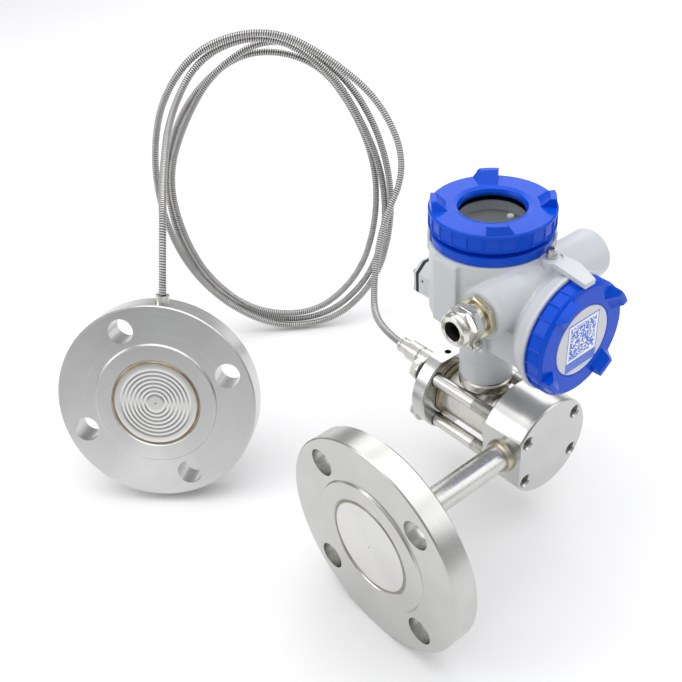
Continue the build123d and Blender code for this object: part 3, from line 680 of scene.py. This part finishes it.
def bolts():
    def parts(bm):
        for hx, hz in HOLE_B:
            c = frame_at((SX + hx, 0, hz), (0, 1, 0))
            pts = [(0, -88.6), (4.95, -88.6), (4.95, -35.0), (4.75, -34.6)]
            a = -34.4
            while a < -2.6:
                pts += [(4.2, a), (4.2, a + 0.15), (4.95, a + 0.68), (4.95, a + 0.82)]
                a += 1.5
            pts += [(4.4, -2.1), (0, -2.1)]
            lathe_bm(bm, pts, c, 40)
    shank = solid("bolt_shanks", parts, 28)
    heads = []
    for i, (hx, hz) in enumerate(HOLE_B):
        c = frame_at((SX + hx, 0, hz), (0, 1, 0))
        heads.append(hex_piece("head%d" % i, c, 16.0, -93.6, -88.0, 30.0, True, False))
    ob = join("flange_bolt_set", shank, *heads)
    shade(ob, 28)
    place(ob, m_bolt, "base", "bolt_steel", "flange_bolts")


bolts()


# ------------------------------------------------------------------ housing casting
PORT = [(13.3, 79.0), (13.3, 94.5), (6.0, 101.0), (-6.0, 101.0), (-13.3, 94.5), (-13.3, 79.0), (-6.0, 72.0), (6.0, 72.0)]
ARM = [(-12.0, -4.0), (-12.0, 17.0), (-4.2, 34.7), (5.4, 34.7), (0.5, 8.0), (0.5, -4.0)]


def shift(poly, x, y=0.0):
    return [(x + u, y + v) for u, v in poly]


def housing():
    bm = bmesh.new()
    lathe_bm(bm, rounded([(0, 33.0), (19.0, 33.0), (19.0, 49.6, 1.2), (17.3, 52.0, 2), (17.3, 92.0), (0, 92.0)], 6), AZ, 128)
    lathe_bm(bm, rounded([(0, 88.0), (40.2, 88.0, 3.4), (40.2, 142.3), (0, 142.3)], 6), AZ, 160)
    lathe_bm(bm, rounded([(0, -60.0), (24.0, -60.0), (24.0, -3.0, 5), (37.5, 10.5, 4), (39.6, 15.5, 2), (39.8, 17.2), (41.0, 17.4, 0.3), (41.0, 20.2, 0.4), (40.4, 20.6), (0, 20.6)], 6), AYT, 176)
    mx = frame_at((0, GY, GZ), (1, 0, 0))
    lathe_bm(bm, rounded([(0, SX), (17.8, SX), (16.8, -115.4, 0.5), (16.2, -114.6), (0, -114.6)], 3), mx, 112)
    lathe_bm(bm, rounded([(0, -222.1), (17.0, -222.1), (17.6, -221.4, 0.3), (17.8, SX), (0, SX)], 4), mx, 112)
    block = [(SX - 26, 76), (SX - 22, 72), (SX + 22, 72), (SX + 26, 76), (SX + 26, 100), (SX - 26, 100)]
    prism_bm(bm, block, Matrix(((1, 0, 0, 0), (0, 0, 1, 0), (0, 1, 0, 0), (0, 0, 0, 1))), -45.0, 13.0)
    prism_bm(bm, shift(PORT, SX), Matrix(((1, 0, 0, 0), (0, 0, 1, 0), (0, 1, 0, 0), (0, 0, 0, 1))), -100.0, -55.0)
    box_bm(bm, SX + 25.0, SX + 42.0, -56.5, -35.5, 92.0, 140.6)
    for a in (-45.0, 135.0):
        d = Vector((math.cos(math.radians(a)), math.sin(math.radians(a)), 0))
        mm = frame_at((SX, NY, 0), (0, 0, 1), d)
        box_bm(bm, 38.5, 41.2, -6.5, 6.5, 136.0, 148.0, mm)
    stations = [(38.0, -17.5, 112.0, 16.4), (36.2, -17.0, 113.0, 16.6), (34.0, -15.5, 115.0, 17.1), (29.5, -13.5, 118.0, 17.3),
                (24.0, -11.5, 120.5, 18.0), (19.0, -10.0, 122.0, 18.5), (-12.0, -10.0, 121.5, 18.5), (-26.0, -12.0, 114.0, 18.0)]
    rings = [[bm.verts.new((SX + x, y + r * math.cos(2 * math.pi * i / 72), z + r * math.sin(2 * math.pi * i / 72))) for i in range(72)] for x, y, z, r in stations]
    for p, q in zip(rings, rings[1:]):
        for i in range(72):
            bm.faces.new((p[i], p[(i + 1) % 72], q[(i + 1) % 72], q[i]))
    bm.faces.new(rings[0])
    bm.faces.new(rings[-1][::-1])
    box_bm(bm, SX - 10.0, SX - 1.0, -8.0, 20.0, 134.0, 141.5)
    cyl_bm(bm, frame_at((SX - 4.9, 0.5, 0), (0, 0, 1)), 6.9, 134.5, 142.6, 64)
    bmesh.ops.recalc_face_normals(bm, faces=bm.faces)
    bmesh.ops.scale(bm, vec=(0.001, 0.001, 0.001), verts=bm.verts)
    me = bpy.data.meshes.new("housing_body")
    bm.to_mesh(me)
    bm.free()
    ob = bpy.data.objects.new("housing_body", me)
    bpy.context.scene.collection.objects.link(ob)
    rm = ob.modifiers.new("r", "REMESH")
    rm.mode, rm.voxel_size, rm.use_smooth_shade = "VOXEL", 0.00085, True
    sm = ob.modifiers.new("s", "SMOOTH")
    sm.factor, sm.iterations = 0.5, 5
    bake(ob)

    shade(ob, 40)
    cuts = [
        lambda bm: cyl_bm(bm, AZ, 36.3, 126.0, 150.0, 128),
        lambda bm: cyl_bm(bm, AZ, 39.6, 142.3, 152.0, 144),
        lambda bm: lathe_bm(bm, [(0, -4.0), (19.5, -4.0), (32.5, 9.0), (34.3, 11.2), (34.3, 30.0), (0, 30.0)], AYT, 128),
        lambda bm: cyl_bm(bm, AYT, 20.0, -38.0, -8.0, 96),
        lambda bm: box_bm(bm, SX - 8.0, SX + 8.0, -9.0, -3.0, TZ + 9.0, TZ + 16.0),
        lambda bm: cyl_bm(bm, AZ, 14.0, 20.0, 52.0, 96),
        lambda bm: cyl_bm(bm, AZ, 9.0, 51.0, 125.0, 64),
        lambda bm: cyl_bm(bm, mx, 10.0, -138.0, -110.0, 64),
        lambda bm: cyl_bm(bm, mx, 10.0, -230.0, -166.0, 64),
        lambda bm: box_bm(bm, SX - 8.0, SX + 8.0, -110.0, -86.0, 77.0, 96.0),
        lambda bm: cyl_bm(bm, frame_at((0, -95.5, 90.0), (1, 0, 0)), 1.25, SX + 4, SX + 20, 24),
        lambda bm: cyl_bm(bm, frame_at((SX - 4.9, 0.5, 0), (0, 0, 1)), 7.15, 143.2, 150.0, 64),
        lambda bm: cyl_bm(bm, frame_at((SX - 5.5, 0.0, 0), (0, 0, 1)), 2.1, 136.6, 150.0, 32),
        lambda bm: cyl_bm(bm, frame_at((0, -26.5, 80.8), (1, 0, 0)), 2.1, SX + 18, SX + 40, 32),
    ]
    for i, fn in enumerate(cuts):
        boolean(ob, solid("hc%d" % i, fn), "DIFFERENCE", 35, solver="MANIFOLD")
    crisp = []
    for fn, width in ((lambda b: prism_bm(b, shift(ARM, SX), Matrix.Identity(4), 140.4, 144.0), 0.55),
                      (lambda b: box_bm(b, SX + 16.0, SX + 29.5, -31.0, -21.5, 73.0, 87.0), 0.8)):
        piece = solid("crisp", fn)
        bv = piece.modifiers.new("v", "BEVEL")
        bv.width, bv.segments, bv.limit_method, bv.angle_limit = width / 1000, 3, "ANGLE", math.radians(30)
        bake(piece)
        crisp.append(piece)
    crisp.append(lathe("ledge", [(0, 135.0), (7.0, 135.0), (7.0, 143.2, 0.5), (2.4, 143.2, 0.2), (2.1, 142.8), (2.1, 137.0), (0, 137.0)], frame_at((SX - 4.9, 0.5, 0), (0, 0, 1)), 72))
    boolean(crisp[0], solid("ac", lambda b: cyl_bm(b, frame_at((SX - 4.9, 0.5, 0), (0, 0, 1)), 7.15, 142.7, 150.0, 64)), "DIFFERENCE", 35)
    boolean(crisp[0], solid("ac2", lambda b: cyl_bm(b, AZ, 39.7, 130.0, 150.0, 144)), "DIFFERENCE", 35)
    ob = join("housing_body", ob, *crisp)
    shade(ob, 35)
    place(ob, m_grey, "housing", "housing_paint", "housing_casting")
    print("housing faces", len(ob.data.polygons))


housing()


# ------------------------------------------------------------------ covers
def sector_lug(bm, m, ang, r_in, r_mid, r_out, half, base, high, flip=1.0, steps=14):
    """Wedge lug on a cover: upright outer face, slanted inner face, one end ramped."""
    grid = []
    for i in range(steps + 1):
        u = -1 + 2 * i / steps
        t = math.radians(ang) + flip * u * half / r_out
        f = 1.0 if u > -0.5 else max(0.05, (u + 1) / 0.5)
        top = base + (high - base) * f
        col = []
        for r, z in ((r_in, base), (r_in + (r_mid - r_in) * f, top), (r_out - 0.5, top), (r_out, base)):
            col.append(bm.verts.new(m @ Vector((r * math.cos(t), r * math.sin(t), z))))
        grid.append(col)
    k = len(grid[0])
    for a, b in zip(grid, grid[1:]):
        for j in range(k):
            q = (j + 1) % k
            bm.faces.new((a[j], a[q], b[q], b[j]))
    bm.faces.new(grid[0])
    bm.faces.new(grid[-1][::-1])


def rib_angles(count, first):
    """Ring angles that are close together at every rib and sparse on the panels."""
    step = 2 * math.pi / count
    out = []
    for k in range(count):
        c = first + k * step
        out += [c + d for d in (-0.021, -0.014, -0.008, 0.008, 0.014, 0.021)]
        out += [c + step * u for u in (0.16, 0.3, 0.5, 0.7, 0.84)]
    return sorted(a % (2 * math.pi) for a in out)


def ribs(count, first, band, depth, outer):
    """Flat panels between thin upright ribs, over the given band of the profile."""
    step = 2 * math.pi / count

    def mod(r, a, t):
        if band[0] <= a <= band[1] and r > outer - 0.8:
            u = ((t - first) / step + 0.5) % 1.0 - 0.5
            away = abs(u) * step
            w = min(1.0, max(0.0, (away - 0.010) / 0.009))
            flat = (outer - depth) * math.cos(step / 2) / math.cos(step / 2 - away)
            return r + (flat - outer) * w, a
        return r, a
    return mod


def display_cover():
    prof = [(33.2, 132.6), (36.25, 132.6, 0.3), (36.25, 142.2), (36.1, 142.4), (36.1, 144.9), (38.1, 144.9), (38.1, 142.7, 0.2), (39.2, 142.7, 0.5),
            (39.4, 148.2, 0.7), (38.4, 149.0, 0.5), (35.2, 149.2, 0.3), (35.2, 152.9, 0.3), (40.1, 153.0, 0.3), (40.9, 153.6, 0.3), (40.9, 154.2), (40.9, 159.0), (40.9, 162.6), (40.9, 163.3), (40.9, 164.6, 0.6), (40.0, 165.4, 0.6),
            (25.6, 165.4, 1.2), (22.4, 164.6, 0.9), (21.4, 162.4, 0.5), (21.4, 160.8), (33.2, 160.8)]
    first = math.radians(5.0)
    ob = lathe("blue_display_cover", prof, AZ, rib_angles(24, first), ribs(24, first, (154.0, 162.8), 0.75, 40.9), closed=True, n=4, angle=22)
    lug = bmesh.new()
    for a in (50.0, 140.0, -130.0, -40.0):
        # angle in the profile frame of AZ (its X is world X)
        sector_lug(lug, AZ, a, 28.6, 35.6, 39.9, 9.0, 164.6, 171.2, flip=-1.0)
    lo = finish_mesh("lugs", lug, 30)
    bv = lo.modifiers.new("v", "BEVEL")
    bv.width, bv.segments, bv.limit_method, bv.angle_limit = 0.0006, 3, "ANGLE", math.radians(35)
    bake(lo)
    ob = join("blue_display_cover", ob, lo)
    shade(ob, 28)
    place(ob, m_blue, "display_cover", "cover_paint", "display_cover")


display_cover()


TFIRST = 0.05


def terminal_cover():
    prof = [(31.0, 11.5), (34.25, 11.5, 0.3), (34.25, 20.6), (34.1, 20.9), (34.1, 22.8), (37.2, 22.8), (37.2, 20.9, 0.2), (39.0, 20.9, 0.3), (39.7, 21.5, 0.3), (39.7, 22.5), (39.7, 26.0), (39.7, 29.8),
            (39.4, 31.0, 0.6), (37.2, 33.0, 1.4), (25.2, 33.0, 0.3), (24.7, 32.5, 0.2), (0, 32.5), (0, 27.5), (31.0, 27.5)]
    first = TFIRST
    ob = lathe("blue_terminal_cover", prof, AYT, rib_angles(24, first), ribs(24, first, (21.6, 30.2), 0.75, 39.7), closed=True, n=4, angle=22)
    lug = bmesh.new()
    for a in (143.0, -129.0, -33.0, 55.0):
        d = (math.cos(math.radians(a)), 0, math.sin(math.radians(a)))
        sector_lug(lug, AYT, to_angle(AYT, d), 27.4, 34.4, 38.7, 9.0, 32.2, 38.6, flip=-1.0)
    lo = finish_mesh("tlugs", lug, 30)
    bv = lo.modifiers.new("v", "BEVEL")
    bv.width, bv.segments, bv.limit_method, bv.angle_limit = 0.0006, 3, "ANGLE", math.radians(35)
    bake(lo)
    ob = join("blue_terminal_cover", ob, lo)
    shade(ob, 28)
    place(ob, m_blue, "terminal_cover", "cover_paint", "terminal_cover")
    ob = lathe("printed_disc", [(0, 32.5), (24.0, 32.5), (24.0, 33.0, 0.15), (23.8, 33.1), (0, 33.1)], AYT, 144)
    place(ob, m_label, "terminal_cover", "label", "label_disc")


terminal_cover()


# ------------------------------------------------------------------ gland
def gland():
    m = frame_at((0, GY, GZ), (1, 0, 0))
    nut = hex_piece("gland_lock_nut", m, 26.0, -114.5, -110.4, 15.0)
    hole = solid("gh", lambda b: cyl_bm(b, m, 9.9, -120, -100, 64))
    boolean(nut, hole, "DIFFERENCE", 28)
    place(nut, m_locknut, "housing", "nickel", "gland_locknut")
    # threaded stub, hexagon and upper thread
    pts = [(6.5, -127.0), (9.4, -127.0)]
    a = -126.5
    while a < -105.9:
        pts += [(8.95, a), (9.9, a + 0.55), (9.9, a + 0.7)]
        a += 1.25
    pts += [(9.5, -105.0), (9.5, -100.1)]
    a = -99.9
    while a < -95.9:
        pts += [(9.2, a), (9.7, a + 0.5), (9.7, a + 0.65)]
        a += 1.2
    pts += [(9.3, -95.2), (6.5, -95.2)]
    stub = lathe("stub", pts, m, 96, closed=True, angle=28)
    hexa = hex_piece("hexa", m, 24.0, -105.0, -100.0, 26.0)
    boolean(hexa, solid("gh2", lambda b: cyl_bm(b, m, 9.45, -110, -95, 64)), "DIFFERENCE", 28)
    ob = join("gland_centre", stub, hexa)
    shade(ob, 28)
    place(ob, m_gland, "housing", "nickel", "gland_body")
    # nut: hexagon, groove and a polished ring at the mouth
    nutb = hex_piece("nb", m, 23.0, -99.6, -95.0, 40.0)
    dome = lathe("dome", [(0, -96.0), (10.5, -96.0), (10.5, -94.2, 0.2), (11.2, -94.0, 0.3), (11.6, -92.9, 0.7), (11.3, -91.2, 1.0), (9.9, -89.6, 1.2), (7.9, -89.1, 0.5), (6.6, -89.7, 0.4), (6.5, -90.6), (0, -90.6)], m, 112, n=6)
    boolean(nutb, dome, "UNION", 28)
    bore = solid("gb", lambda b: lathe_bm(b, [(0, -103), (9.75, -103), (9.75, -92.4), (8.5, -90.7), (0, -90.7)], m, 64))
    boolean(nutb, bore, "DIFFERENCE", 28)
    bore = solid("gb3", lambda b: cyl_bm(b, m, 6.5, -103, -80, 64))
    boolean(nutb, bore, "DIFFERENCE", 28)
    nutb.name = "gland_dome_nut"
    place(nutb, m_gland, "gland_nut", "nickel", "gland_nut")


gland()

# ------------------------------------------------------------------ CAD nodes that stay
for node, mat in {
    "extension_tube": m_tube, "tube_weld_collar": m_weld_x, "flange_weld_bead": m_weld_x, "sensor_capsule": m_capsule, "sensor_cell": m_ring,
    "isolating_diaphragm_front": m_ring, "isolating_diaphragm_rear": m_ring, "capsule_ring_front": m_sensor, "capsule_weld_front": m_weld_y, "capsule_weld_rear": m_weld_y,
    "flange_bolt_washers": m_bolt, "capillary_fitting": m_fit, "capillary_ferrule": m_fit, "remote_spigot": m_fit, "neck_ring": m_neck,
    "side_port_gasket": m_rubber, "side_port_plate": m_grey, "side_port_screws": m_black, "cover_lock_screw": m_bolt, "ground_washer": m_bolt, "ground_screw": m_bolt,
    "electronics_can": m_module, "electronics_board": m_board, "display_module": m_module, "display_panel": m_lcd, "display_fixing_caps": m_white,
    "display_cover_seal": m_rubber, "window_gasket": m_rubber, "window_glass": m_glass, "window_ring": m_bezel,
    "terminal_block": m_module, "terminal_screws": m_bolt, "terminal_block_screws": m_bolt, "terminal_cover_seal": m_rubber, "gland_seal": m_rubber, "blind_plug": m_gland,
}.items():
    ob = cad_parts[node]
    if not ob.material_slots:
        ob.data.materials.append(mat)
    for s in ob.material_slots:
        s.material = mat

# ------------------------------------------------------------------ stage
bpy.ops.mesh.primitive_plane_add(size=8.0, location=(0, 0, FLOOR))
floor = bpy.context.object
floor.name = "floor"
f = Mat("floor").set(Roughness=0.9, Specular_IOR_Level=0.1)
f.link(f.mixcol(f.noise(f.tc.outputs["Object"], 3.0), (0.94, 0.94, 0.94), (0.955, 0.955, 0.955)), f.p.inputs["Base Color"])
floor.data.materials.append(f.m)

world = bpy.data.worlds.new("world")
bpy.context.scene.world = world
world.use_nodes = True
nt = world.node_tree
bg = nt.nodes["Background"]
tc = nt.nodes.new("ShaderNodeTexCoord")
sep = nt.nodes.new("ShaderNodeSeparateXYZ")
nt.links.new(tc.outputs["Generated"], sep.inputs[0])
rp = nt.nodes.new("ShaderNodeValToRGB")
nt.links.new(sep.outputs[2], rp.inputs[0])
el = rp.color_ramp.elements
el[0].position, el[0].color = 0.0, (0.66, 0.67, 0.68, 1)
el[1].position, el[1].color = 1.0, (0.95, 0.95, 0.97, 1)
e = el.new(0.25); e.color = (0.30, 0.30, 0.31, 1)
e = el.new(0.5); e.color = (0.48, 0.485, 0.49, 1)
nt.links.new(rp.outputs[0], bg.inputs[0])
bg.inputs[1].default_value = 0.90


def area(name, loc, target, size, power, color=(1, 1, 1)):
    li = bpy.data.lights.new(name, "AREA")
    li.shape, li.size, li.size_y = "RECTANGLE", size[0], size[1]
    li.energy, li.color = power, color
    ob = bpy.data.objects.new(name, li)
    bpy.context.scene.collection.objects.link(ob)
    ob.location = loc
    ob.rotation_mode = "QUATERNION"
    ob.rotation_quaternion = (Vector(target) - Vector(loc)).to_track_quat("-Z", "Y")
    return ob


C = (-0.1, -0.15, 0.05)
area("top", (-0.1, -0.1, 1.5), C, (1.8, 1.8), 13.5)
area("left", (1.3, -0.9, 0.9), C, (1.1, 1.1), 8)
area("right", (-1.1, 1.0, 0.8), C, (0.9, 1.2), 4)
area("back", (-1.2, -1.1, 1.0), C, (1.2, 0.9), 5)

cam = bpy.data.cameras.new("camera")
cam.sensor_width, cam.lens = 36.0, 49.8172
cam.clip_start, cam.clip_end = 0.01, 50
co = bpy.data.objects.new("camera", cam)
bpy.context.scene.collection.objects.link(co)
right = Vector((-0.7663228, 0.6398513, -0.0577909))
up = -Vector((0.4167367, 0.4266081, -0.8027054))
back = -Vector((-0.488958, -0.639215, -0.593569))
cm = Matrix((right, up, back)).transposed().to_4x4()
cm.translation = Vector((0.247521, 0.310994, 0.454696))
co.matrix_world = cm
bpy.context.scene.camera = co
bpy.context.scene.view_settings.view_transform = "Standard"
